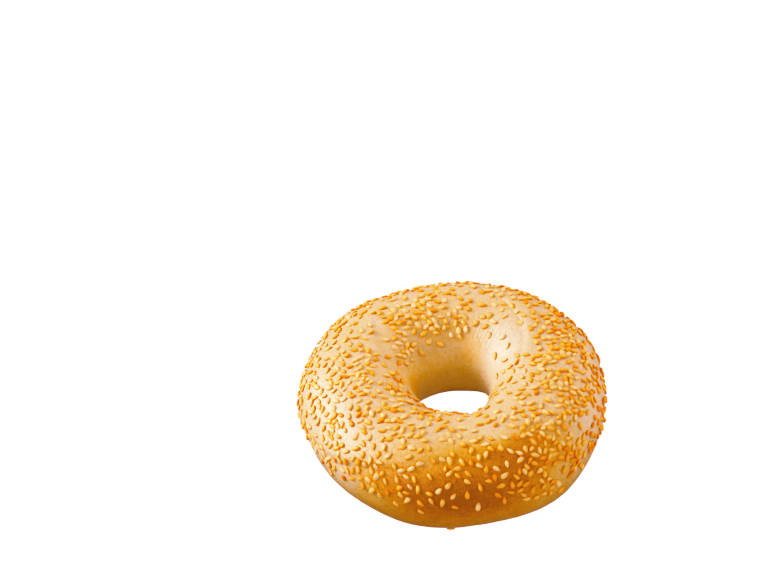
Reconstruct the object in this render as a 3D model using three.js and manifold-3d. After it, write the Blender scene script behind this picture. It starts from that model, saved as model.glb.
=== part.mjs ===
// A sesame bagel: one ring of baked dough, with sesame seeds stuck to its crust.
//
// Millimetres and degrees, +Z up. The origin is on the surface that the bagel rests on, under the
// middle of the ring. Two angles name a place on the crust:
//   around: round the ring, 0 at +X and 90 at +Y, so that 270 is the front
//   over:   over the rope of dough, 0 outside, 90 on top, 180 in the hole and 270 underneath

import * as THREE from "three";
import { mergeVertices } from "three/addons/utils/BufferGeometryUtils.js";
import Module from "manifold-3d";

// The ring of dough
const RING_RADIUS = 33.4; // from the hole's axis to the middle of the rope
const HOLE_AXIS = { x: 0.72, y: 0.98 }; // the ring is uneven, so its hole isn't quite in the middle
const ROPE_WIDTH = 40.5; // across the rope, at its waist
const BAGEL_HEIGHT = 37.3;
const WAIST_SHARE = 0.5; // height of the rope's widest place, as a share of its whole height
const BASE_FLAT_CUT = 1.6; // how much of the round underside the baking tray has flattened
const ROUNDNESS = { topOutside: 2.12, topInside: 2, baseOutside: 2.12, baseInside: 2 }; // 2 is an ellipse

// Hand-rolled dough swells and narrows as it goes round: lobes in a turn, amount, and where one peaks
const RING_SWELL = [
  { lobes: 1, amount: 0.16, peak: 0 },
  { lobes: 3, amount: 0.55, peak: 43 },
  { lobes: 4, amount: 0.21, peak: 42 },
];
const WIDTH_SWELL = [
  { lobes: 1, amount: 0.41, peak: 238 },
  { lobes: 2, amount: 0.49, peak: 157 },
  { lobes: 3, amount: 0.27, peak: 30 },
];
const HEIGHT_SWELL = [{ lobes: 2, amount: 0.56, peak: 28 }];

// Bumps, and dents with a height below 0: the middle, how far each reaches in degrees, and the height
const BUMPS = [
  { around: 283, over: 322, reachAround: 20, reachOver: 26, height: -1.8 }, // underside, lifted at the front
  { around: 230, over: 325, reachAround: 14, reachOver: 20, height: -0.5 }, // and at the front left
  { around: 150, over: 102, reachAround: 10, reachOver: 24, height: -1.1 }, // valley at the back left
  { around: 268, over: 84, reachAround: 14, reachOver: 13, height: -0.5 }, // bare hollow on the front's top
  { around: 296, over: 74, reachAround: 8, reachOver: 11, height: 0.7 }, // knob on the front's top
  { around: 330, over: 52, reachAround: 16, reachOver: 22, height: 0.5 }, // fullness at the front right
  { around: 62, over: 128, reachAround: 18, reachOver: 26, height: -0.5 }, // hollow beside the seam
  { around: 322, over: 128, reachAround: 14, reachOver: 20, height: 1 }, // hole's edge, at the front right
  { around: 187, over: 12, reachAround: 13, reachOver: 26, height: 0.9 }, // fullness on the left
];

// Folds, each a straight line from one [around, over] to another: seen along it, the dough on its left
// stands proud of the dough on its right, with a groove between; the rise is in degrees
const FOLDS = [
  { from: [66, 77], to: [6, 121], height: 0.8, rise: 1, groove: 0.3 }, // seam where the rope's ends meet
  { from: [219, 18], to: [262, 60], height: 1.4, rise: 1.8, groove: 0.3 }, // fold that slants up the front
  { from: [193, 3], to: [216, 16], height: 0.7, rise: 2.2, groove: 0.2 }, // and goes on down the left
  { from: [198, 158], to: [142, 86], height: 0.5, rise: 1.2, groove: 0.1 }, // shoulder beside the valley
];
const FOLD_REACH = 10; // degrees of either angle over which the proud side runs out
const GROOVE_REACH = 3; // half the groove's width, in degrees
const FOLD_END = 10; // degrees over which a fold dies away past its ends

// Low swells all over the dough: lobes round the ring and over the rope, amount, and where one peaks
const LUMPS = [
  { lobes: 5, turns: 1, amount: 0.16, peak: 25 },
  { lobes: 7, turns: -2, amount: 0.14, peak: 130 },
  { lobes: 9, turns: 3, amount: 0.1, peak: 250 },
];

// Sesame seeds: drops with a ridged back, sunk a little into the crust
const SEED_LENGTH = { least: 3.4, most: 4 };
const SEED_WIDTH_SHARE = 0.76; // of the length
const SEED_THICK_SHARE = 0.66; // of the length
const SEED_TAPER = 0.42; // how much narrower the pointed end is
const SEED_SUNK = 0.28; // how far the middle of a seed lies below the crust
const SEED_GAP = 5; // distance between the middles of two seeds where the cover is full
const SEED_DARTS = 9000;
const DARTS_OVER = { start: -40, span: 240 }; // the part of the rope that the darts are thrown at
const SEED_DRAW = 20260; // starts the row of random draws
const DRAW_FACTOR = 48271; // a draw is the one before times this, wrapped at the next
const DRAW_WRAP = 2147483647;

// Where the crust is seeded: the lines at which the seeds end, and patches that are nearly bare
const SEED_OUTER_END = -4;
const SEED_HOLE_END = 144;
const SEED_HOLE_WANDER = [
  { lobes: 1, amount: 6, peak: 350 },
  { lobes: 3, amount: 5, peak: 130 },
];
const SEED_END_FADE = 12; // degrees over which the seeds thin out at those two lines
const BARE_COVER = 0.08; // no seeds where the cover is thinner than this
const THIN_PATCHES = [
  { around: 42, over: 110, reachAround: 16, reachOver: 28, bare: 0.95 }, // beside the seam
  { around: 56, over: 82, reachAround: 9, reachOver: 7, bare: 0.9 }, // along the seam
  { around: 24, over: 106, reachAround: 9, reachOver: 9, bare: 0.9 }, // and at its end
  { around: 36, over: 152, reachAround: 22, reachOver: 20, bare: 0.6 }, // in the hole, behind the right
  { around: 25, over: 152, reachAround: 26, reachOver: 18, bare: 0.6 }, // in the hole, on the right
  { around: 8, over: 132, reachAround: 28, reachOver: 20, bare: 0.55 }, // hole's edge, on the right
  { around: 60, over: 142, reachAround: 14, reachOver: 12, bare: 0.8 }, // in the hole, at the back right
  { around: 105, over: 150, reachAround: 34, reachOver: 14, bare: 0.5 }, // in the hole, at the back
  { around: 150, over: 99, reachAround: 9, reachOver: 11, bare: 1 }, // valley at the back left
  { around: 162, over: 112, reachAround: 7, reachOver: 9, bare: 0.95 }, // further down it
  { around: 174, over: 124, reachAround: 8, reachOver: 9, bare: 0.85 }, // and its end
  { around: 223, over: 47, reachAround: 8, reachOver: 6, bare: 0.7 }, // left, above the fold
  { around: 98, over: 69, reachAround: 38, reachOver: 6, bare: 0.75 }, // along the back's crest
  { around: 263, over: 73, reachAround: 12, reachOver: 11, bare: 0.97 }, // hollow on the front's top
  { around: 285, over: 128, reachAround: 45, reachOver: 16, bare: 0.7 }, // hole's edge, at the front
  { around: 297, over: 64, reachAround: 11, reachOver: 8, bare: 0.6 }, // front right, beside the knob
  { around: 279, over: 3, reachAround: 12, reachOver: 16, bare: 0.85 }, // low on the front right
  { around: 266, over: 28, reachAround: 24, reachOver: 22, bare: 0.38 }, // front
  { around: 274, over: -10, reachAround: 42, reachOver: 24, bare: 0.97 }, // low on the front
  { around: 236, over: -6, reachAround: 13, reachOver: 12, bare: 0.8 }, // low on the front left
  { around: 326, over: 38, reachAround: 6, reachOver: 8, bare: 0.6 }, // right
  { around: 352, over: 20, reachAround: 24, reachOver: 16, bare: 0.5 }, // far right
];

// How finely the solid is faceted
const RING_STEPS = 66;
const SECTION_STEPS = 26;
const SEED_SIDES = 4;
const SEED_RINGS = 3;
const NORMAL_STEP = 0.5; // degrees between the places that a normal is worked out from
const WELD = 1e-4;

const CRUST_COLOUR = 0xdca65c;

const cosDeg = (angle) => Math.cos(THREE.MathUtils.degToRad(angle));
const sinDeg = (angle) => Math.sin(THREE.MathUtils.degToRad(angle));
const signedPower = (value, power) => Math.sign(value) * Math.abs(value) ** power;

// The difference of two angles, from -180 to 180.
const apart = (a, b) => ((((a - b) % 360) + 540) % 360) - 180;

// The sum of the waves in a list of swells.
function swell(waves, around) {
  return waves.reduce((sum, wave) => sum + wave.amount * cosDeg(wave.lobes * (around - wave.peak)), 0);
}

// A soft hill, 1 in its middle, that reaches as far as a patch says.
function hill(patch, around, over) {
  const x = apart(around, patch.around) / patch.reachAround;
  const y = apart(over, patch.over) / patch.reachOver;
  return Math.exp(-x * x - y * y);
}

// How far a fold lifts the crust: proud on the left of its line, a groove along it, nothing far away.
function foldLift(fold, around, over) {
  const runAround = apart(fold.to[0], fold.from[0]);
  const runOver = apart(fold.to[1], fold.from[1]);
  const length = Math.hypot(runAround, runOver);
  const x = apart(around, fold.from[0]);
  const y = apart(over, fold.from[1]);
  const along = (x * runAround + y * runOver) / length;
  const left = (y * runAround - x * runOver) / length;
  const past = Math.max(-along, along - length, 0) / FOLD_END;
  const proud = (fold.height * Math.exp(-Math.abs(left) / FOLD_REACH)) / (1 + Math.exp(-left / fold.rise));
  const groove = fold.groove * Math.exp(-((left / GROOVE_REACH) ** 2));
  return (proud - groove) * Math.exp(-past * past);
}

// How far the crust stands out from its plain section, all in all.
function relief(around, over) {
  const bumps = BUMPS.map((bump) => bump.height * hill(bump, around, over));
  const folds = FOLDS.map((fold) => foldLift(fold, around, over));
  const lumps = LUMPS.map((l) => l.amount * cosDeg(l.lobes * around + l.turns * over - l.peak));
  return [...bumps, ...folds, ...lumps].reduce((sum, part) => sum + part, 0);
}

// The place on the crust at two angles. The section is a rounded oval, flattened by the tray.
function crust(around, over) {
  const top = sinDeg(over) >= 0;
  const outside = cosDeg(over) >= 0;
  const quarter = (top ? "top" : "base") + (outside ? "Outside" : "Inside");
  const power = 2 / ROUNDNESS[quarter];
  const height = BAGEL_HEIGHT + swell(HEIGHT_SWELL, around);
  const waist = WAIST_SHARE * height;
  const halfWidth = ROPE_WIDTH / 2 + swell(WIDTH_SWELL, around);
  const halfHeight = top ? height - waist : waist + BASE_FLAT_CUT;
  const lift = relief(around, over);
  const out = halfWidth * signedPower(cosDeg(over), power) + lift * cosDeg(over);
  const up = waist + halfHeight * signedPower(sinDeg(over), power) + lift * sinDeg(over);
  const radius = RING_RADIUS + swell(RING_SWELL, around) + out;
  const x = HOLE_AXIS.x + radius * cosDeg(around);
  const y = HOLE_AXIS.y + radius * sinDeg(around);
  return new THREE.Vector3(x, y, Math.max(up, 0));
}

// The direction straight out of the crust at two angles.
function crustNormal(around, over) {
  const alongRing = crust(around + NORMAL_STEP, over).sub(crust(around - NORMAL_STEP, over));
  const alongSection = crust(around, over + NORMAL_STEP).sub(crust(around, over - NORMAL_STEP));
  return alongRing.cross(alongSection).normalize();
}

// The ring of dough: a torus whose vertices are moved to the crust.
function doughGeometry() {
  const torus = new THREE.TorusGeometry(RING_RADIUS, ROPE_WIDTH / 2, SECTION_STEPS, RING_STEPS);
  const places = torus.getAttribute("position");
  const turns = torus.getAttribute("uv");
  for (let i = 0; i < places.count; i += 1) {
    const place = crust(360 * (turns.getX(i) % 1), 360 * (turns.getY(i) % 1));
    places.setXYZ(i, place.x, place.y, place.z);
  }
  return torus;
}

// A seed of length 1 along +Y, its pointed end at +Y, lying flat with a ridge along its face to +Z.
function seedGeometry() {
  const seed = new THREE.SphereGeometry(0.5, SEED_SIDES, SEED_RINGS);
  const places = seed.getAttribute("position");
  for (let i = 0; i < places.count; i += 1) {
    const towardPoint = places.getY(i) + 0.5;
    const narrowing = 1 - SEED_TAPER * towardPoint ** 2;
    const across = places.getX(i) * SEED_WIDTH_SHARE * narrowing;
    const through = places.getZ(i) * SEED_THICK_SHARE * narrowing;
    places.setXYZ(i, across, places.getY(i), through);
  }
  return seed;
}

// How thickly the crust is seeded at two angles, from 0, bare, to 1.
function seedCover(around, over) {
  const { smoothstep } = THREE.MathUtils;
  const holeEnd = SEED_HOLE_END + swell(SEED_HOLE_WANDER, around);
  const fromOuter = smoothstep(over, SEED_OUTER_END - SEED_END_FADE, SEED_OUTER_END + SEED_END_FADE);
  const fromHole = 1 - smoothstep(over, holeEnd - SEED_END_FADE, holeEnd + SEED_END_FADE);
  const left = THIN_PATCHES.reduce((share, patch) => share * (1 - patch.bare * hill(patch, around, over)), 1);
  return fromOuter * fromHole * left;
}

// Numbers from 0 to 1 that are the same in every run.
function randomDraws(start) {
  let state = start;
  return () => {
    state = (state * DRAW_FACTOR) % DRAW_WRAP;
    return state / DRAW_WRAP;
  };
}

// The seeds, as darts thrown at the upper crust: one is kept if it is clear of the others, by more where
// the cover is thin. More darts miss near the hole, where the same angles span less crust.
function scatterSeeds() {
  const draw = randomDraws(SEED_DRAW);
  const seeds = [];
  for (let dart = 0; dart < SEED_DARTS; dart += 1) {
    const around = 360 * draw();
    const over = DARTS_OVER.start + DARTS_OVER.span * draw();
    const chance = draw();
    const turn = 360 * draw();
    const size = draw();
    const place = crust(around, over);
    const span = Math.hypot(place.x - HOLE_AXIS.x, place.y - HOLE_AXIS.y) / (RING_RADIUS + ROPE_WIDTH / 2);
    const cover = seedCover(around, over);
    const gap = SEED_GAP / Math.sqrt(cover);
    const clear = seeds.every((seed) => seed.place.distanceTo(place) >= gap);
    if (clear && chance < span && cover > BARE_COVER) {
      const length = THREE.MathUtils.lerp(SEED_LENGTH.least, SEED_LENGTH.most, size);
      seeds.push({ place, normal: crustNormal(around, over), turn, length });
    }
  }
  return seeds;
}

// A seed's geometry, laid on the crust and turned.
function laidSeed(shape, seed) {
  const lay = new THREE.Quaternion().setFromUnitVectors(new THREE.Vector3(0, 0, 1), seed.normal);
  const spin = new THREE.Quaternion().setFromAxisAngle(seed.normal, THREE.MathUtils.degToRad(seed.turn));
  const middle = seed.place.clone().addScaledVector(seed.normal, -SEED_SUNK);
  const size = new THREE.Vector3().setScalar(seed.length);
  return shape.clone().applyMatrix4(new THREE.Matrix4().compose(middle, spin.multiply(lay), size));
}

const wasm = await Module();
wasm.setup();

// A geometry as a solid that can be joined.
function solidOf(geometry) {
  geometry.deleteAttribute("normal");
  geometry.deleteAttribute("uv");
  const merged = mergeVertices(geometry, WELD);
  const vertProperties = merged.getAttribute("position").array;
  const triVerts = new Uint32Array(merged.index.array);
  return new wasm.Manifold(new wasm.Mesh({ numProp: 3, vertProperties, triVerts }));
}

// A solid as a geometry that can be drawn.
function geometryOf(solid) {
  const mesh = solid.getMesh();
  const geometry = new THREE.BufferGeometry();
  geometry.setAttribute("position", new THREE.BufferAttribute(mesh.vertProperties, mesh.numProp));
  geometry.setIndex(new THREE.BufferAttribute(mesh.triVerts, 1));
  geometry.computeVertexNormals();
  return geometry;
}

// The whole bagel: dough and seeds, joined into one solid.
function bagelMesh() {
  const seedShape = seedGeometry();
  const seedSolids = scatterSeeds().map((seed) => solidOf(laidSeed(seedShape, seed)));
  const joined = wasm.Manifold.union([solidOf(doughGeometry()), ...seedSolids]);
  const material = new THREE.MeshStandardMaterial({ color: CRUST_COLOUR, roughness: 0.5, metalness: 0 });
  const mesh = new THREE.Mesh(geometryOf(joined), material);
  mesh.name = "bagel";
  return mesh;
}

const bagel = new THREE.Group();
bagel.add(bagelMesh());

export default bagel;
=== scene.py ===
# A sesame bagel for its picture: a fine crust and all its seeds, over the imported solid.
#
# Sizes are in millimetres, as the dough's own sizes are, and become metres where Blender takes them.
# Two angles, in degrees, name a place on the crust:
#   around: round the ring, 0 at +X and 90 at +Y, so that 270 is the front
#   over:   over the rope of dough, 0 outside, 90 on top, 180 in the hole and 270 underneath
# A bump or a patch is a soft hill: its middle around and over, its reach around and over, and its height.

import math
from itertools import islice

import bpy
import numpy as np
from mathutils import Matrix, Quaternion, Vector, noise
from mathutils.kdtree import KDTree


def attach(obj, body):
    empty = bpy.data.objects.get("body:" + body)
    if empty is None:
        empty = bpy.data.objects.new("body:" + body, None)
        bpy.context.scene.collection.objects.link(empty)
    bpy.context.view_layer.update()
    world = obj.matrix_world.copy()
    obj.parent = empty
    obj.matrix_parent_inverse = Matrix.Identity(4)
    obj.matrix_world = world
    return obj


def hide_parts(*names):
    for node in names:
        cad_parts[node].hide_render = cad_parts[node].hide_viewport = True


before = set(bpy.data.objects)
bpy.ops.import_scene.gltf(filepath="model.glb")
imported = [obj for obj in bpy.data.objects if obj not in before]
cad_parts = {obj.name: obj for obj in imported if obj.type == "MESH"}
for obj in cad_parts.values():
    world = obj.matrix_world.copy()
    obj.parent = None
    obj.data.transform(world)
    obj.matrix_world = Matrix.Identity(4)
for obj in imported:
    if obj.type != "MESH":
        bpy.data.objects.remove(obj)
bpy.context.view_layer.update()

MM = 0.001

# The ring of dough
RING_RADIUS = 33.4  # from the hole's axis to the middle of the rope
HOLE_AXIS = (0.72, 0.98)
ROPE_WIDTH = 40.5
BAGEL_HEIGHT = 37.3
WAIST_SHARE = 0.5  # height of the rope's widest place, as a share of its whole height
BASE_FLAT_CUT = 1.6  # how much of the round underside the baking tray has flattened
ROUNDNESS = {"top": (2.12, 2), "base": (2.12, 2)}  # outside and in the hole: 2 is an ellipse
NORMAL_STEP = 0.5  # degrees to either side of a place, between which the crust's direction is measured

# How the dough swells as it goes round: lobes in a turn, amount, and where one peaks
RING_SWELL = [(1, 0.16, 0), (3, 0.55, 43), (4, 0.21, 42)]
WIDTH_SWELL = [(1, 0.41, 238), (2, 0.49, 157), (3, 0.27, 30)]
HEIGHT_SWELL = [(2, 0.56, 28)]

# Bumps and dents
BUMPS = [
    (283, 322, 20, 26, -1.8),  # underside, lifted at the front
    (230, 325, 14, 20, -0.5),  # and at the front left
    (150, 102, 10, 24, -1.1),  # valley at the back left
    (268, 84, 14, 13, -0.5),  # bare hollow on the front's top
    (296, 74, 8, 11, 0.7),  # knob on the front's top
    (330, 52, 16, 22, 0.5),  # fullness at the front right
    (62, 128, 18, 26, -0.5),  # hollow beside the seam
    (322, 128, 14, 20, 1.0),  # fullness of the hole's edge, at the front right
    (187, 12, 13, 26, 0.9),  # fullness on the left
]

# Folds: the start and the end of a line, how proud the dough on its left stands, how softly it steps up,
# and the depth of a groove along the line
FOLDS = [
    ((66, 77), (6, 121), 0.8, 1.0, 0.3),  # seam where the rope's two ends meet
    ((219, 18), (262, 60), 1.4, 1.8, 0.3),  # fold that slants up over the front
    ((193, 3), (216, 16), 0.7, 2.2, 0.2),  # and goes on down the left
    ((198, 158), (142, 86), 0.5, 1.2, 0.1),  # shoulder beside the back left's valley
]
FOLD_REACH = 10  # degrees over which the proud dough falls away from the line
GROOVE_REACH = 3
FOLD_END = 10  # degrees over which a fold fades past the ends of its line

# A fine edge of skin along the folds, which only the crust's material has
EDGE_CLEARNESS = (1, 0.5, 0.5, 0)  # along each of the folds
EDGE_WIDTH = 0.55  # degrees, on either side
EDGE_WANDER = (5, 2, 3)  # wavelength and detail of a noise, and the degrees that it spreads over
EDGE_BUMP = (0.11, 1)  # height and strength
# how much paler the crust is along the edge: partly a paler skin edge, partly a painted glint where it faces
# the light
EDGE_PALENESS_AND_GLINT = 0.14

# Low swells all over the dough: lobes round the ring and over the rope, amount, and where one peaks
LUMPS = [(5, 1, 0.16, 25), (7, -2, 0.14, 130), (9, 3, 0.1, 250)]

# Finer unevenness of the skin: wavelength and height
SKIN_WAVES = [(7.0, 0.16), (2.6, 0.05)]

# Large seeds, well apart, which the solid has too
SEED_GAP = 5  # least distance between the middles of two, where the cover is full
SEED_DARTS = 9000
SEED_DRAW = 20260
# Seeds that fill in between them
FILL_GAP = 2.0  # usual distance between two middles, where the seeds lie thickest
GAP_SPREAD = 0.6  # how much that varies, as a share of it
CLUMP_SIZE = 7  # wavelength of the noise that gathers them in clumps
CLUMP_DEPTH = 1.2
FILL_DARTS = 30000
FILL_DRAW = 4711
# A seed that strayed to the underside's edge, at the front: around, over, turn and size, both from 0 to 1
STRAY_SEED = (267.6, 315, 0.27, 0.6)
OVER_START, OVER_SPAN = -40, 240  # the part of the rope that the darts are thrown at
# Random draws: each is the one before times a factor, less as many wraps as go into that
DRAW_FACTOR = 48271
DRAW_WRAP = 2147483647
DRAWS_PER_DART = 5
DRAWS_PER_SEED = 5
FORM_DRAW = 4712  # where the draws for each seed's own width, tilt and toasting start

# A seed: a flat drop
SEED_LENGTH = (2.6, 3.5)  # shortest and longest
SEED_WIDTH_SHARE = (0.54, 0.72)  # of its length, slimmest and broadest
SEED_THICK_SHARE = 0.42  # of its length, usually
SEED_THINNEST = 0.85  # as a share of the usual thickness
SEED_THICK_SPREAD = 0.3  # from the thinnest to the thickest
SEED_TAPER = 0.48  # share of its width that it loses towards its pointed end
SEED_RISE = 0.18  # how far the middle of a seed lies above the crust
SEED_TILT = 18  # degrees, at most, from lying flat
SEED_SIDES = 12
SEED_RINGS = 8
SEED_UV_MARGIN = 0.04  # round a seed's square of the texture, as a share of that

# Where the crust is seeded: the lines at which the seeds end, and patches where they thin out, up to 1, bare
SEED_OUTER_END = -4
SEED_HOLE_END = 144
SEED_HOLE_WANDER = [(1, 6, 350), (3, 5, 130)]
SEED_END_FADE = 12  # degrees over which the seeds thin out at those two lines
BARE_COVER = 0.08  # no seeds where the cover is thinner than this
THIN_PATCHES = [
    (42, 110, 16, 28, 0.95),  # beside the seam
    (56, 82, 9, 7, 0.9),  # along the seam
    (24, 106, 9, 9, 0.9),  # and at its end
    (36, 152, 22, 20, 0.6),  # in the hole, behind the right
    (25, 152, 26, 18, 0.6),  # in the hole, on the right
    (8, 132, 28, 20, 0.55),  # hole's edge, on the right
    (60, 142, 14, 12, 0.8),  # in the hole, at the back right
    (105, 150, 34, 14, 0.5),  # in the hole, at the back
    (150, 99, 9, 11, 1),  # valley at the back left
    (162, 112, 7, 9, 0.95),  # further down it
    (174, 124, 8, 9, 0.85),  # and its end
    (223, 47, 8, 6, 0.7),  # left, above the fold
    (98, 69, 38, 6, 0.75),  # along the back's crest
    (263, 73, 12, 11, 0.97),  # hollow on the front's top
    (285, 128, 45, 16, 0.7),  # hole's edge, at the front
    (297, 64, 11, 8, 0.6),  # front right, beside the knob
    (279, 3, 12, 16, 0.85),  # low on the front right
    (266, 28, 24, 22, 0.38),  # front
    (274, -10, 42, 24, 0.97),  # low on the front
    (236, -6, 13, 12, 0.8),  # low on the front left
    (326, 38, 6, 8, 0.6),  # right
    (352, 20, 24, 16, 0.5),  # far right
]
# How thickly the seeds fill in, from 0 to 1, and what patches add to that
PLAIN_COVER = 0.42
THICK_PATCHES = [
    (12, 66, 40, 28, 0.5),  # right of the seam
    (340, 40, 32, 35, 0.4),  # right
    (355, 36, 16, 20, -0.22),  # far right, where there are fewer
    (310, 16, 16, 16, 0.3),  # front right
    (318, 46, 12, 18, 0.45),  # and higher
    (330, 0, 16, 10, 0.25),  # low on the right
    (318, 132, 26, 14, -0.25),  # right edge of the hole, where there are fewer
    (268, 26, 34, 20, 0.16),  # front
    (276, 50, 14, 9, 0.3),  # and higher
    (200, 62, 34, 36, 0.2),  # left
    (130, 104, 12, 16, 0.4),  # back left
    (146, 128, 12, 12, 0.45),  # and lower
    (142, 84, 8, 9, -0.35),  # above the valley, where there are fewer
    (108, 94, 10, 14, 0.25),  # back
    (88, 112, 12, 18, 0.2),  # back, on the hole's edge
    (82, 146, 8, 12, 0.25),  # and in the hole
    (188, 150, 12, 14, 0.3),  # in the hole, on the left
    (226, 36, 6, 6, 0.5),  # along the front's fold
    (237, 46, 7, 6, 0.5),  # and higher up it
]

# How brown the crust is, from 0 to 1, and what patches add to that. Most of it is the oven's brownness; the
# patches so marked are painted shade where they darken it and painted sheen and glints where they make it
# paler
BROWNING = 0.15
ALL_ROUND = 1000  # a reach so long that a patch is the same all round the ring
BROWNING_SHADE_AND_SHEEN_PATCHES = [
    (0, 260, ALL_ROUND, 60, 0.5),  # underside
    (0, 224, ALL_ROUND, 15, 0.6),  # underside's edge in the hole
    (0, 314, ALL_ROUND, 10, 0.55),  # and outside
    (268, 314, 3, 7, 0.3),  # round the stray seed
    (0, -32, ALL_ROUND, 22, 0.2),  # low on the outside
    (271, 23, 38, 34, 0.86),  # front
    (275, -14, 75, 24, 0.12),  # low on the front
    # painted sheen: paler low on the left, for the white floor's reflection at the grazing edge
    (220, 5, 24, 22, -0.26),  # left, below its fold
    (244, 22, 11, 26, 0.08),  # front left, below its fold
    (236, -14, 18, 14, 0.06),  # and lower
    (264, 73, 14, 10, 0.06),  # hollow on the front's top
    (284, 66, 18, 13, 0.24),  # front's top, right of that
    (302, 52, 14, 22, 0.35),  # front right, beside the knob
    # painted reflection: paler on the right, for the sheen of the white surroundings at the grazing edge
    (350, 20, 40, 40, -0.2),  # right
    (330, 0, 18, 18, 0.08),  # low on the right
    (95, 186, 50, 24, 0.04),  # in the hole, at the back
    # painted shade: darker on the hole's upper back wall, where the left light's shadow falls
    (120, 140, 40, 18, 0.08),  # and above that
    (164, 130, 16, 16, 0.1),  # foot of the valley
    # painted shade: darker where the hole's back wall turns into shadow
    (66, 147, 17, 22, 0.22),  # in the hole, at the back right
    (108, 106, 32, 24, 0.13),  # back
    (140, 166, 30, 18, 0.1),  # in the hole, at the back left
    # painted shade: darker on the hole's left wall, which faces away from the left light
    (180, 160, 20, 16, 0.36),  # in the hole, on the left
    # painted light: paler on the hole's right wall, where the left light falls
    (25, 160, 30, 20, -0.25),  # in the hole, on the right
    (35, 125, 22, 30, -0.12),  # beside the seam
    # painted glint: paler where the light catches the head of the valley
    (143, 88, 6, 7, -0.12),  # head of the valley
    # paler on the left: partly paler crust, partly painted sheen of the lit side
    (195, 50, 30, 30, -0.08),  # left
]
BROWNING_MOTTLE = [(12, 3, 0.25), (4, 3, 0.25), (1.2, 3, 0.4)]  # wavelength and detail of a noise, and depth
# Dark specks: how much browner they are, the wavelength of the noise they come from, and its levels
SPECK_BROWNING = 0.25
SPECK_SPACING = 1.0
SPECK_LEVELS = (0.74, 0.82)
SEED_SHADE_ON_CRUST = 0.18  # painted shade: how much darker and browner the crust is round a seed, at its foot
SEED_SHADE_REACH = 0.9
# Red, green and blue of the crust at levels of brownness, which the painted shade and sheen move too
CRUST_COLOURS = [
    (0.0, (0.81, 0.685, 0.42)),
    (0.2, (0.79, 0.61, 0.28)),
    (0.4, (0.77, 0.48, 0.12)),
    (0.6, (0.72, 0.34, 0.03)),
    (0.8, (0.56, 0.20, 0.005)),
    (1.0, (0.36, 0.095, 0.002)),
]
CRUST_ROUGHNESS = (4, 3, 0.3, 0.3)  # wavelength and detail of a noise, what it adds, and the least
CRUST_GRAIN = (0.9, 4, 0.3, 0.8)  # wavelength and detail of a noise, height and strength
CRUST_PORES = (0.5, 2, 0.25, 1)  # the same, in the glossy coat
CRUST_SPECULAR = 0.8
COAT_WEIGHT = 1
COAT_ROUGHNESS = 0.27

# Where the skin has fine wrinkles, and how many there would be in a whole turn
WRINKLED_PATCHES = [
    (45, 125, 26, 24, 1),  # beside the seam
    (205, 66, 22, 20, 0.6),  # left
]
WRINKLES = 90
WAVE_SCALE = math.pi / 10  # at which Blender's wave texture has one band in a length of 1
WRINKLE_DISTORTION = 6
WRINKLE_DETAIL = 2
WRINKLE_DETAIL_SCALE = 0.6
WRINKLE_BUMP = (0.1, 0.7)  # height and strength

# How toasted the seeds are, from 0 to 1, and what patches add to that; the patch so marked is painted light
TOASTING = 0.5
TOASTING_AND_LIGHT_PATCHES = [
    (270, 10, 42, 42, 0.06),  # front
    (0, 25, 45, 40, 0.12),  # right
    (345, 16, 30, 22, 0.22),  # and lower
    # painted light: seeds paler on the lit left side
    (195, 40, 35, 35, -0.04),  # left
    (90, 140, 80, 20, -0.15),  # in the hole
]
TOASTING_SPREAD = 0.5
DARK_SHARE = 0.05  # of the seeds, which are more toasted still
DARK_TOASTING = 0.14
SEED_FOOT_SHADE = 0.85  # painted shade: what a seed's lowest place adds to its toasting, darker and more orange round its foot
SEED_CROWN_LIGHT = 1.2  # painted light: how much less its highest place adds, so that its top is paler
SEED_MOTTLE = (1.2, 2, 0.3)  # wavelength and detail of a noise, and depth
# Red, green and blue of the seeds at levels of toasting, with the painted shade of their rims added
SESAME_COLOURS = [
    (0.0, (0.93, 0.76, 0.42)),
    (0.25, (0.91, 0.64, 0.235)),
    (0.5, (0.90, 0.49, 0.09)),
    (0.75, (0.91, 0.355, 0.02)),
    (1.0, (0.8, 0.21, 0.002)),
]
SESAME_ROUGHNESS = (0.8, 2, 0.3, 0.2)  # wavelength and detail of a noise, what it adds, and the least
SESAME_GRAIN = (0.5, 2, 0.05, 0.5)  # wavelength and detail of a noise, height and strength

# How finely the crust is meshed: round the ring, and over the rope above and below
RING_STEPS = 440
UPPER_START, UPPER_END, UPPER_STEPS = -35, 205, 180
LOWER_STEPS = 40

# Camera: the pixel at which a place on the hole's axis appears, and that place's height
FRAME_WIDTH, FRAME_HEIGHT = 772, 579  # pixels
AIM_PIXEL = (454.0, 402.1)
AIM_HEIGHT = 18
CAMERA_ELEVATION = 45.6
CAMERA_DISTANCE = 900
CAMERA_ROLL = -1.2
CAMERA_NEAR = 10  # nothing nearer than this is drawn
SENSOR = 36
LENS = 118.2

# Lights: azimuth, elevation, side, watts, and whether they show in the gloss and in the plain colour
LIGHT_DISTANCE = 800
LIGHTS = {
    "left_light": (168, 29, 320, 3.9, True, True),
    "left_fill": (178, 34, 900, 2.2, False, True),
    "right_light": (42, 17, 500, 3.1, False, True),
    "front_light": (308, 9, 500, 1.7, False, True),
    "front_card": (240, 3, 900, 2.0, True, False),
}
WORLD_COLOUR = (1, 0.98, 0.96, 1)
WORLD_STRENGTH = 0.32
FLOOR_REACH = 2000  # from its middle to each side
FLOOR_GLOW = 1.1
REFLECTED_FLOOR_GLOW = 0.15
REFLECTED_FLOOR_DROP = 1  # how far it lies under the other

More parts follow.
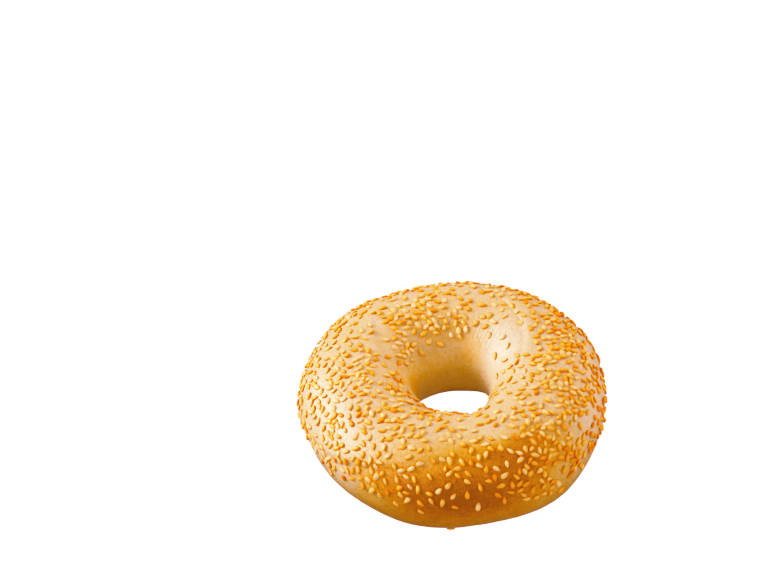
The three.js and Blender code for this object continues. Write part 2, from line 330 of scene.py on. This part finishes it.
# How the picture is graded: light in, light out. Shade turns warm, and highlights stay below white.
RED_GRADE = [
    (0.11, 0.215), (0.235, 0.41), (0.33, 0.54), (0.42, 0.685),
    (0.51, 0.8), (0.6, 0.87), (0.78, 0.93), (0.95, 0.97),
]
GREEN_GRADE = [
    (0.1, 0.105), (0.16, 0.17), (0.225, 0.255), (0.27, 0.325), (0.325, 0.405),
    (0.375, 0.475), (0.45, 0.575), (0.54, 0.67), (0.75, 0.825), (0.95, 0.95),
]
BLUE_GRADE = [
    (0.016, 0.003), (0.06, 0.007), (0.087, 0.033), (0.115, 0.085), (0.15, 0.152),
    (0.19, 0.215), (0.255, 0.34), (0.5, 0.625), (0.75, 0.81), (0.95, 0.92),
]


def cos_deg(angle):
    return np.cos(np.radians(angle))


def sin_deg(angle):
    return np.sin(np.radians(angle))


def smoothstep(value, low, high):
    """0 up to a low value, 1 from a high one, and a soft step between them."""
    share = np.clip((value - low) / (high - low), 0, 1)
    return share * share * (3 - 2 * share)


def between(ends, share):
    """A share of the way from one end to the other."""
    return ends[0] + (ends[1] - ends[0]) * share


def apart(a, b):
    """The difference of two angles, from -180 to 180."""
    return (a - b + 180) % 360 - 180


def swell(waves, around):
    """What waves round the ring add up to at an angle."""
    return sum(amount * cos_deg(lobes * (around - peak)) for lobes, amount, peak in waves)


def hill(middle_around, middle_over, reach_around, reach_over, around, over):
    """A soft hill, 1 in its middle."""
    x = apart(around, middle_around) / reach_around
    y = apart(over, middle_over) / reach_over
    return np.exp(-x * x - y * y)


def patched(level, patches, around, over):
    """A level, and what patches add to it at two angles."""
    return level + sum(patch[4] * hill(*patch[:4], around, over) for patch in patches)


def beside_fold(fold, around, over):
    """How far a place lies to the left of a fold's line, in degrees, and past its ends, in fades."""
    start, end = fold[:2]
    run_around = apart(end[0], start[0])
    run_over = apart(end[1], start[1])
    length = math.hypot(run_around, run_over)
    x = apart(around, start[0])
    y = apart(over, start[1])
    along = (x * run_around + y * run_over) / length
    left = (y * run_around - x * run_over) / length
    past = np.maximum(np.maximum(-along, along - length), 0) / FOLD_END
    return left, past


def fold_lift(fold, around, over):
    """Proud on the left of the fold's line, a groove along it, nothing far away."""
    height, softness, depth = fold[2:]
    left, past = beside_fold(fold, around, over)
    proud = height * np.exp(-np.abs(left) / FOLD_REACH) / (1 + np.exp(-left / softness))
    groove = depth * np.exp(-((left / GROOVE_REACH) ** 2))
    return (proud - groove) * np.exp(-past * past)


def skin_edges(around, over):
    """How far each place lies from the nearest fold's line, in degrees, and how clear its edge is."""
    sides = np.array([beside_fold(fold, around, over) for fold in FOLDS])
    left, past = sides[:, 0], sides[:, 1]
    nearest = np.argmin(np.abs(left) + FOLD_END * past, axis=0)
    each = np.arange(len(around))
    fade = np.exp(-past[nearest, each] ** 2)
    return left[nearest, each], np.array(EDGE_CLEARNESS)[nearest] * fade


def relief(around, over):
    """How far the crust stands out from its plain section."""
    bumps = patched(0, BUMPS, around, over)
    folds = sum(fold_lift(fold, around, over) for fold in FOLDS)
    lumps = sum(a * cos_deg(lobes * around + turns * over - peak) for lobes, turns, a, peak in LUMPS)
    return bumps + folds + lumps


def crust_place(around, over, lift=0):
    """The place on the crust at two angles, lifted straight out of the section if asked."""
    top = sin_deg(over) >= 0
    outside = cos_deg(over) >= 0
    round_top = np.where(outside, *ROUNDNESS["top"])
    round_base = np.where(outside, *ROUNDNESS["base"])
    power = 2 / np.where(top, round_top, round_base)
    height = BAGEL_HEIGHT + swell(HEIGHT_SWELL, around)
    waist = WAIST_SHARE * height
    half_width = ROPE_WIDTH / 2 + swell(WIDTH_SWELL, around)
    half_height = np.where(top, height - waist, waist + BASE_FLAT_CUT)
    lift = lift + relief(around, over)
    oval_out = np.sign(cos_deg(over)) * np.abs(cos_deg(over)) ** power
    oval_up = np.sign(sin_deg(over)) * np.abs(sin_deg(over)) ** power
    radius = RING_RADIUS + swell(RING_SWELL, around) + half_width * oval_out + lift * cos_deg(over)
    x = HOLE_AXIS[0] + radius * cos_deg(around)
    y = HOLE_AXIS[1] + radius * sin_deg(around)
    z = waist + half_height * oval_up + lift * sin_deg(over)
    return np.stack([x, y, np.maximum(z, 0)], axis=-1)


def crust_normal(around, over):
    """The direction straight out of the crust at two angles."""
    along_ring = crust_place(around + NORMAL_STEP, over) - crust_place(around - NORMAL_STEP, over)
    along_section = crust_place(around, over + NORMAL_STEP) - crust_place(around, over - NORMAL_STEP)
    normal = np.cross(along_ring, along_section)
    return normal / np.linalg.norm(normal, axis=-1, keepdims=True)


def seed_cover(around, over):
    """How thickly the crust is seeded at two angles, from 0, bare, to 1."""
    hole_end = SEED_HOLE_END + swell(SEED_HOLE_WANDER, around)
    cover = smoothstep(over, SEED_OUTER_END - SEED_END_FADE, SEED_OUTER_END + SEED_END_FADE)
    cover = cover * (1 - smoothstep(over, hole_end - SEED_END_FADE, hole_end + SEED_END_FADE))
    for patch in THIN_PATCHES:
        cover = cover * (1 - patch[4] * hill(*patch[:4], around, over))
    return cover


def random_draws(start, rows, columns):
    """A table of numbers from 0 to 1 that are the same in every run."""
    def draws():
        state = start
        while True:
            state = state * DRAW_FACTOR % DRAW_WRAP
            yield state / DRAW_WRAP

    return np.fromiter(islice(draws(), rows * columns), float).reshape(rows, columns)


def throw_darts(start, count):
    """Darts at the upper crust: their two angles, and three more draws for each."""
    draws = random_draws(start, count, DRAWS_PER_DART)
    around = 360 * draws[:, 0]
    over = OVER_START + OVER_SPAN * draws[:, 1]
    return around, over, draws[:, 2], draws[:, 3], draws[:, 4]


def large_gaps(around, over, place, chance):
    """How clear of the others a large seed has to lie. Fewer darts count in the hole, where they crowd."""
    span = np.hypot(place[:, 0] - HOLE_AXIS[0], place[:, 1] - HOLE_AXIS[1])
    cover = seed_cover(around, over)
    hit = (cover > BARE_COVER) & (chance < span / (RING_RADIUS + ROPE_WIDTH / 2))
    return np.where(hit, SEED_GAP / np.sqrt(np.maximum(cover, BARE_COVER)), np.inf)


def filling_gaps(around, over, place, chance):
    """How clear of the others a seed has to lie that fills in: less where the seeds lie in clumps."""
    clump = np.array([noise.noise(Vector(p) / CLUMP_SIZE) for p in place])
    cover = seed_cover(around, over) * patched(PLAIN_COVER, THICK_PATCHES, around, over)
    cover = np.minimum(cover * (1 + CLUMP_DEPTH * clump), 1)
    gap = FILL_GAP * (1 + GAP_SPREAD * (chance - 0.5))
    return np.where(cover > BARE_COVER, gap / np.sqrt(np.maximum(cover, BARE_COVER)), np.inf)


def scatter_seeds():
    """The stray seed, the large ones, as the solid has them, and those that fill in: one row each."""
    rows = [STRAY_SEED]
    places = np.zeros((0, 3))
    passes = ((SEED_DRAW, SEED_DARTS, large_gaps), (FILL_DRAW, FILL_DARTS, filling_gaps))
    for start, count, gaps in passes:
        around, over, chance, turn, size = throw_darts(start, count)
        place = crust_place(around, over)
        gap = gaps(around, over, place, chance)
        for i in np.flatnonzero(np.isfinite(gap)):
            if np.all(np.linalg.norm(places - place[i], axis=1) >= gap[i]):
                places = np.vstack([places, place[i]])
                rows.append((around[i], over[i], turn[i], size[i]))
    return np.array(rows)


def new_mesh_object(name, vertices, faces):
    """A smooth mesh from vertices in millimetres."""
    mesh = bpy.data.meshes.new(name)
    mesh.from_pydata((vertices * MM).tolist(), [], faces)
    mesh.polygons.foreach_set("use_smooth", np.ones(len(faces), bool))
    piece = bpy.data.objects.new(name, mesh)
    bpy.context.scene.collection.objects.link(piece)
    return piece


def set_uv(piece, u, v):
    """A texture place for each corner of each face, in the order of the faces."""
    layer = piece.data.uv_layers.new(name="OFBake")
    layer.data.foreach_set("uv", np.stack([u, v], axis=-1).ravel())


def set_numbers(piece, name, values):
    """A number for each vertex, which a material can read by name."""
    numbers = piece.data.attributes.new(name, "FLOAT", "POINT")
    numbers.data.foreach_set("value", np.asarray(values, float).ravel())


def distance_to_seed(places, seed_rows):
    """How far each place is from the nearest seed's middle."""
    tree = KDTree(len(seed_rows))
    for i, middle in enumerate(crust_place(seed_rows[:, 0], seed_rows[:, 1])):
        tree.insert(Vector(middle), i)
    tree.balance()
    return np.array([tree.find(Vector(place))[2] for place in places])


def section_angles():
    """The angles over the rope at which the crust is meshed, closer together above than below."""
    upper = np.linspace(UPPER_START, UPPER_END, UPPER_STEPS, endpoint=False)
    lower = np.linspace(UPPER_END, UPPER_START + 360, LOWER_STEPS, endpoint=False)
    return np.concatenate([upper, lower])


def skin_lift(places):
    """How far the fine unevenness of the skin stands out at each place."""
    lift = np.zeros(len(places))
    for wavelength, height in SKIN_WAVES:
        lift += height * np.array([noise.noise(Vector(p) / wavelength) for p in places])
    return lift


def set_crust_numbers(piece, vertices, around, over, seed_rows):
    """What the crust's material reads at each vertex."""
    # painted shade round each seed's foot
    seed_shade = SEED_SHADE_ON_CRUST * np.exp(-(distance_to_seed(vertices, seed_rows) / SEED_SHADE_REACH) ** 2)
    beside, clearness = skin_edges(around, over)
    # brownness, with the painted shade and sheen of the patches and the painted shade round each seed
    set_numbers(piece, "browning_shade_and_sheen", patched(BROWNING, BROWNING_SHADE_AND_SHEEN_PATCHES, around, over) + seed_shade)
    set_numbers(piece, "wrinkling", patched(0, WRINKLED_PATCHES, around, over))
    set_numbers(piece, "beside_fold", beside)
    set_numbers(piece, "edge_clearness", clearness)


def make_crust(seed_rows):
    """The skin of the dough, meshed finely enough for its folds and unevenness."""
    angles = section_angles()
    steps = len(angles)
    ring, section = np.meshgrid(np.arange(RING_STEPS), np.arange(steps), indexing="ij")
    around = ring.ravel() * 360 / RING_STEPS
    over = angles[section.ravel()]
    vertices = crust_place(around, over, skin_lift(crust_place(around, over)))
    next_ring = (ring + 1) % RING_STEPS
    next_section = (section + 1) % steps
    corners = [(ring, section), (next_ring, section), (next_ring, next_section), (ring, next_section)]
    faces = np.stack([(i * steps + j).ravel() for i, j in corners], axis=-1)
    piece = new_mesh_object("bagel_crust", vertices, faces.tolist())
    heights = (np.append(angles, UPPER_START + 360) - UPPER_START) / 360
    u = np.stack([ring, ring + 1, ring + 1, ring], axis=-1).ravel() / RING_STEPS
    v = heights[np.stack([section, section, section + 1, section + 1], axis=-1).ravel()]
    set_uv(piece, u, v)
    set_crust_numbers(piece, vertices, around, over, seed_rows)
    return piece


def seed_shape():
    """A seed of length, width and thickness 1: its vertices, its faces and their texture places."""
    polar, turn = np.meshgrid(np.arange(SEED_RINGS + 1), np.arange(SEED_SIDES), indexing="ij")
    across = np.sin(np.pi * polar / SEED_RINGS) / 2
    y = -np.cos(np.pi * polar / SEED_RINGS) / 2
    narrowing = 1 - SEED_TAPER * (y + 0.5) ** 2
    angle = 2 * np.pi * turn / SEED_SIDES
    vertices = np.stack([across * narrowing * np.cos(angle), y, across * narrowing * np.sin(angle)], -1)
    vertices = vertices[1:-1].reshape(-1, 3)
    ends = np.array([[0, -0.5, 0], [0, 0.5, 0]])
    faces, places = [], []
    first_end = len(vertices)
    for ring in range(SEED_RINGS):
        for side in range(SEED_SIDES):
            low, high = (ring - 1) * SEED_SIDES, ring * SEED_SIDES
            after = (side + 1) % SEED_SIDES
            corners = [low + side, low + after, high + after, high + side]
            spots = [(side, ring), (side + 1, ring), (side + 1, ring + 1), (side, ring + 1)]
            if ring == 0:
                corners, spots = [first_end] + corners[2:], spots[1:]
            elif ring == SEED_RINGS - 1:
                corners, spots = corners[:2] + [first_end + 1], spots[:3]
            faces.append(corners[::-1])
            places.extend((u / SEED_SIDES, v / SEED_RINGS) for u, v in spots[::-1])
    return np.vstack([vertices, ends]), faces, np.array(places)


def seed_rotation(normal, turn, nod, lean):
    """How a seed lies on the crust: flat, then turned, then tilted both ways by draws from 0 to 1."""
    lay = Vector((0, 0, 1)).rotation_difference(Vector(normal))
    spin = Quaternion((0, 0, 1), 2 * math.pi * turn)
    nodding = Quaternion((1, 0, 0), math.radians(SEED_TILT * (2 * nod - 1)))
    leaning = Quaternion((0, 1, 0), math.radians(SEED_TILT * (2 * lean - 1)))
    return np.array((lay @ spin @ nodding @ leaning).to_matrix())


def seed_toasting(around, over, chance):
    """How toasted seeds are at two angles, by draws from 0 to 1."""
    toasting = patched(TOASTING, TOASTING_AND_LIGHT_PATCHES, around, over) + TOASTING_SPREAD * (chance - 0.5)
    return toasting + np.where(chance > 1 - DARK_SHARE, DARK_TOASTING, 0)


def set_seed_uv(piece, count, places):
    """A square of the texture for each seed."""
    squares = math.ceil(math.sqrt(count))
    square = np.arange(count)[:, None]
    inset = SEED_UV_MARGIN + (1 - 2 * SEED_UV_MARGIN) * places
    u = (square % squares + inset[:, 0]) / squares
    v = (square // squares + inset[:, 1]) / squares
    set_uv(piece, u.ravel(), v.ravel())


def make_seeds(seed_rows):
    """All the seeds as one mesh, each laid on the crust, turned and a little tilted."""
    around, over, turn, size = seed_rows.T
    count = len(seed_rows)
    broadness, thickness, nod, lean, chance = random_draws(FORM_DRAW, count, DRAWS_PER_SEED).T
    length = between(SEED_LENGTH, size)
    width = length * between(SEED_WIDTH_SHARE, broadness)
    thick = length * SEED_THICK_SHARE * (SEED_THINNEST + SEED_THICK_SPREAD * thickness)
    normal = crust_normal(around, over)
    middle = crust_place(around, over) + normal * SEED_RISE
    shape, faces, places = seed_shape()
    vertices = np.zeros((count, len(shape), 3))
    for i in range(count):
        rotation = seed_rotation(normal[i], turn[i], nod[i], lean[i])
        vertices[i] = middle[i] + (shape * (width[i], length[i], thick[i])) @ rotation.T
    piece_faces = [[corner + i * len(shape) for corner in face] for i in range(count) for face in faces]
    piece = new_mesh_object("sesame_seeds", vertices.reshape(-1, 3), piece_faces)
    set_seed_uv(piece, count, places)
    set_numbers(piece, "toasting", np.repeat(seed_toasting(around, over, chance), len(shape)))
    set_numbers(piece, "crown", np.tile(shape[:, 2] + 0.5, count))
    return piece


def new_material(name):
    """A material, its nodes, its links and its shader."""
    material = bpy.data.materials.new(name)
    material.use_nodes = True
    nodes = material.node_tree.nodes
    return material, nodes, material.node_tree.links, nodes["Principled BSDF"]


def attribute(nodes, name):
    """A number of each vertex, as a material reads it."""
    node = nodes.new("ShaderNodeAttribute")
    node.attribute_name = name
    return node.outputs["Fac"]


def calculate(nodes, links, operation, *values):
    """A sum on sockets and plain numbers."""
    node = nodes.new("ShaderNodeMath")
    node.operation = operation
    for socket, value in zip(node.inputs, values):
        if isinstance(value, bpy.types.NodeSocket):
            links.new(value, socket)
        else:
            socket.default_value = value
    return node.outputs["Value"]


def colour_ramp(nodes, links, level, stops):
    """A colour for each level, through stops that are a level with its red, green and blue."""
    ramp = nodes.new("ShaderNodeValToRGB")
    elements = ramp.color_ramp.elements
    while len(elements) < len(stops):
        elements.new(0.5)
    for element, (place, colour) in zip(elements, stops):
        element.position = place
        element.color = (*colour, 1)
    links.new(level, ramp.inputs["Fac"])
    return ramp.outputs["Color"]


def noise_texture(nodes, links, wavelength, detail):
    """Noise from 0 to 1 with a wavelength in millimetres, in the object's own space."""
    spot = nodes.new("ShaderNodeTexCoord")
    texture = nodes.new("ShaderNodeTexNoise")
    texture.inputs["Scale"].default_value = 1 / (wavelength * MM)
    texture.inputs["Detail"].default_value = detail
    links.new(spot.outputs["Object"], texture.inputs["Vector"])
    return texture.outputs["Fac"]


def mottled(nodes, links, level, wavelength, detail, depth):
    """A level that a noise makes uneven."""
    mottle = calculate(nodes, links, "SUBTRACT", noise_texture(nodes, links, wavelength, detail), 0.5)
    return calculate(nodes, links, "MULTIPLY_ADD", mottle, depth, level)


def set_roughness(nodes, links, shader, wavelength, detail, spread, least):
    """Roughness that a noise makes uneven."""
    texture = noise_texture(nodes, links, wavelength, detail)
    links.new(calculate(nodes, links, "MULTIPLY_ADD", texture, spread, least), shader.inputs["Roughness"])


def add_bump(nodes, links, texture, height, strength, before=None):
    """A bump by a texture from 0 to 1, with a height in millimetres, on top of another if asked."""
    bump = nodes.new("ShaderNodeBump")
    bump.inputs["Strength"].default_value = strength
    bump.inputs["Distance"].default_value = height * MM
    links.new(texture, bump.inputs["Height"])
    if before:
        links.new(before, bump.inputs["Normal"])
    return bump.outputs["Normal"]


def add_grain(nodes, links, wavelength, detail, height, strength, before=None):
    """A bump by a noise."""
    return add_bump(nodes, links, noise_texture(nodes, links, wavelength, detail), height, strength, before)


def wrinkle_texture(nodes, links):
    """Uneven lines over the rope, side by side round the ring, where the skin is wrinkled."""
    spot = nodes.new("ShaderNodeTexCoord")
    texture = nodes.new("ShaderNodeTexWave")
    texture.bands_direction = "X"
    texture.inputs["Scale"].default_value = WRINKLES * WAVE_SCALE
    texture.inputs["Distortion"].default_value = WRINKLE_DISTORTION
    texture.inputs["Detail"].default_value = WRINKLE_DETAIL
    texture.inputs["Detail Scale"].default_value = WRINKLE_DETAIL_SCALE
    links.new(spot.outputs["UV"], texture.inputs["Vector"])
    return calculate(nodes, links, "MULTIPLY", texture.outputs["Fac"], attribute(nodes, "wrinkling"))


def skin_edge_texture(nodes, links):
    """As high as the edge of skin is clear on a fold's line, and 0 beside it."""
    beside = mottled(nodes, links, attribute(nodes, "beside_fold"), *EDGE_WANDER)
    distance = calculate(nodes, links, "ABSOLUTE", beside)
    edge = calculate(nodes, links, "MULTIPLY_ADD", distance, -1 / EDGE_WIDTH, 1)
    edge = calculate(nodes, links, "MAXIMUM", edge, 0)
    return calculate(nodes, links, "MULTIPLY", edge, attribute(nodes, "edge_clearness"))


def speck_texture(nodes, links):
    """1 in a speck and 0 elsewhere."""
    texture = noise_texture(nodes, links, SPECK_SPACING, 0)
    return colour_ramp(nodes, links, texture, [(SPECK_LEVELS[0], (0, 0, 0)), (SPECK_LEVELS[1], (1, 1, 1))])


def crust_material():
    """Skin that is browned unevenly, with specks, wrinkles and a glossy coat. Its colour also holds painted
    shade round the seeds and in the hole, and painted sheen and glints.
    """
    material, nodes, links, shader = new_material("baked_crust")
    edge = skin_edge_texture(nodes, links)
    level = attribute(nodes, "browning_shade_and_sheen")
    for mottle in BROWNING_MOTTLE:
        level = mottled(nodes, links, level, *mottle)
    level = calculate(nodes, links, "MULTIPLY_ADD", speck_texture(nodes, links), SPECK_BROWNING, level)
    level = calculate(nodes, links, "MULTIPLY_ADD", edge, -EDGE_PALENESS_AND_GLINT, level)
    links.new(colour_ramp(nodes, links, level, CRUST_COLOURS), shader.inputs["Base Color"])
    set_roughness(nodes, links, shader, *CRUST_ROUGHNESS)
    skin = add_grain(nodes, links, *CRUST_GRAIN)
    skin = add_bump(nodes, links, wrinkle_texture(nodes, links), *WRINKLE_BUMP, skin)
    skin = add_bump(nodes, links, edge, *EDGE_BUMP, skin)
    links.new(skin, shader.inputs["Normal"])
    links.new(add_grain(nodes, links, *CRUST_PORES, skin), shader.inputs["Coat Normal"])
    shader.inputs["Specular IOR Level"].default_value = CRUST_SPECULAR
    shader.inputs["Coat Weight"].default_value = COAT_WEIGHT
    shader.inputs["Coat Roughness"].default_value = COAT_ROUGHNESS
    return material


def sesame_material():
    """Seeds that are paler on top than round their rims: painted light on the top and painted shade round
    the foot.
    """
    material, nodes, links, shader = new_material("toasted_sesame")
    crown = attribute(nodes, "crown")
    rim_shade = calculate(nodes, links, "MULTIPLY_ADD", crown, -SEED_CROWN_LIGHT, SEED_FOOT_SHADE)
    level = calculate(nodes, links, "ADD", attribute(nodes, "toasting"), rim_shade)
    level = mottled(nodes, links, level, *SEED_MOTTLE)
    links.new(colour_ramp(nodes, links, level, SESAME_COLOURS), shader.inputs["Base Color"])
    set_roughness(nodes, links, shader, *SESAME_ROUGHNESS)
    links.new(add_grain(nodes, links, *SESAME_GRAIN), shader.inputs["Normal"])
    return material


def make_floor(name, height, glow):
    """A floor that is white by its own light and doesn't light the bagel."""
    side = FLOOR_REACH * MM
    corners = [(-side, -side, height), (side, -side, height), (side, side, height), (-side, side, height)]
    mesh = bpy.data.meshes.new(name)
    mesh.from_pydata(corners, [], [(0, 1, 2, 3)])
    floor = bpy.data.objects.new(name, mesh)
    bpy.context.scene.collection.objects.link(floor)
    material, _, _, shader = new_material("pale_" + name)
    shader.inputs["Base Color"].default_value = (0, 0, 0, 1)
    shader.inputs["Roughness"].default_value = 1
    shader.inputs["Specular IOR Level"].default_value = 0
    shader.inputs["Emission Color"].default_value = (1, 1, 1, 1)
    shader.inputs["Emission Strength"].default_value = glow
    mesh.materials.append(material)
    floor.visible_diffuse = False
    return floor


def make_floors():
    """A floor that the camera sees, and a fainter one just under it that shows only in the gloss."""
    floor = make_floor("floor", 0, FLOOR_GLOW)
    floor.visible_glossy = False
    reflected = make_floor("reflected_floor", -REFLECTED_FLOOR_DROP * MM, REFLECTED_FLOOR_GLOW)
    reflected.visible_camera = False


def softbox(name, azimuth, elevation, side, watts, in_gloss, in_plain):
    """A square light that faces the bagel from a direction: azimuth 0 is +X and 90 is +Y."""
    light = bpy.data.lights.new(name, "AREA")
    light.shape = "SQUARE"
    light.size = side * MM
    light.energy = watts
    lamp = bpy.data.objects.new(name, light)
    flat = math.cos(math.radians(elevation))
    toward = Vector((
        flat * math.cos(math.radians(azimuth)),
        flat * math.sin(math.radians(azimuth)),
        math.sin(math.radians(elevation)),
    ))
    lamp.location = toward * (LIGHT_DISTANCE * MM) + Vector((0, 0, AIM_HEIGHT * MM))
    lamp.visible_glossy = in_gloss
    lamp.visible_diffuse = in_plain
    lamp.rotation_mode = "QUATERNION"
    lamp.rotation_quaternion = toward.to_track_quat("Z", "Y")
    bpy.context.scene.collection.objects.link(lamp)


def make_lights():
    """The softboxes, and light from all round that doesn't show in the gloss."""
    for name, settings in LIGHTS.items():
        softbox(name, *settings)
    world = bpy.data.worlds.new("studio")
    world.use_nodes = True
    background = world.node_tree.nodes["Background"]
    background.inputs["Color"].default_value = WORLD_COLOUR
    background.inputs["Strength"].default_value = WORLD_STRENGTH
    bpy.context.scene.world = world
    world.cycles_visibility.glossy = False


def make_camera():
    """A camera that sees the aim where the photograph has it, without shifting the lens."""
    elevation = math.radians(CAMERA_ELEVATION)
    aim = Vector((HOLE_AXIS[0], HOLE_AXIS[1], AIM_HEIGHT)) * MM
    back = Vector((0, -math.cos(elevation), math.sin(elevation)))
    pixels_per_lens = FRAME_WIDTH / SENSOR * LENS
    right = (AIM_PIXEL[0] - FRAME_WIDTH / 2) / pixels_per_lens
    down = (AIM_PIXEL[1] - FRAME_HEIGHT / 2) / pixels_per_lens
    straight = Vector((0, 0, -1))
    turned = Vector((right, -down, -1)).rotation_difference(straight)
    roll = Quaternion((0, 0, 1), math.radians(CAMERA_ROLL))
    camera = bpy.data.objects.new("camera", bpy.data.cameras.new("camera"))
    camera.data.lens = LENS
    camera.data.sensor_width = SENSOR
    camera.data.clip_start = CAMERA_NEAR * MM
    camera.location = aim + back * CAMERA_DISTANCE * MM
    camera.rotation_mode = "QUATERNION"
    camera.rotation_quaternion = back.to_track_quat("Z", "Y") @ roll @ turned
    bpy.context.scene.collection.objects.link(camera)
    bpy.context.scene.camera = camera


def make_grade():
    """Warmer shade, as the photograph's print has it: more red and less blue where it is dark."""
    scene = bpy.context.scene
    scene.view_settings.view_transform = "Standard"
    scene.use_nodes = True
    nodes = scene.node_tree.nodes
    nodes.clear()
    layers = nodes.new("CompositorNodeRLayers")
    curves = nodes.new("CompositorNodeCurveRGB")
    picture = nodes.new("CompositorNodeComposite")
    for curve, points in zip(curves.mapping.curves, (RED_GRADE, GREEN_GRADE, BLUE_GRADE)):
        for place in points:
            curve.points.new(*place)
    curves.mapping.update()
    scene.node_tree.links.new(layers.outputs["Image"], curves.inputs["Image"])
    scene.node_tree.links.new(curves.outputs["Image"], picture.inputs["Image"])


make_camera()
make_grade()
make_lights()
make_floors()

seed_rows = scatter_seeds()
crust = make_crust(seed_rows)
crust.data.materials.append(crust_material())
seeds = make_seeds(seed_rows)
seeds.data.materials.append(sesame_material())
for piece, slot in ((crust, "crust"), (seeds, "sesame")):
    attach(piece, "root")
    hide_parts("bagel")
